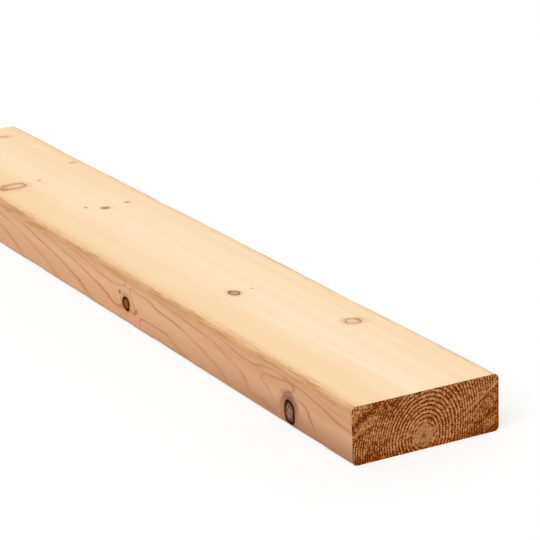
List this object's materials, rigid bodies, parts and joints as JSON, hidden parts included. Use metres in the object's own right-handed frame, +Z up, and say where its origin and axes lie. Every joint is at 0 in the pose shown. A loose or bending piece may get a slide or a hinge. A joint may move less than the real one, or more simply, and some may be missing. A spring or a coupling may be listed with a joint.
{
  "type": "timber plank",
  "caption": "Straight planed softwood plank of rectangular section with eased long edges and square-cut ends, used as framing, joist or decking-support stock.",
  "frame": {"origin": "middle of the underside, on the surface that the plank lies on", "axes": "+X along the grain, towards the end that the picture shows; +Y across the width; +Z up through the thickness"},
  "size_m": [0.9, 0.125, 0.045],
  "materials": {
    "softwood": "planed, unfinished, knotty, with darker sawn end grain"
  },
  "bodies": {
    "root": {"plank": "softwood"}
  },
  "joints": []
}
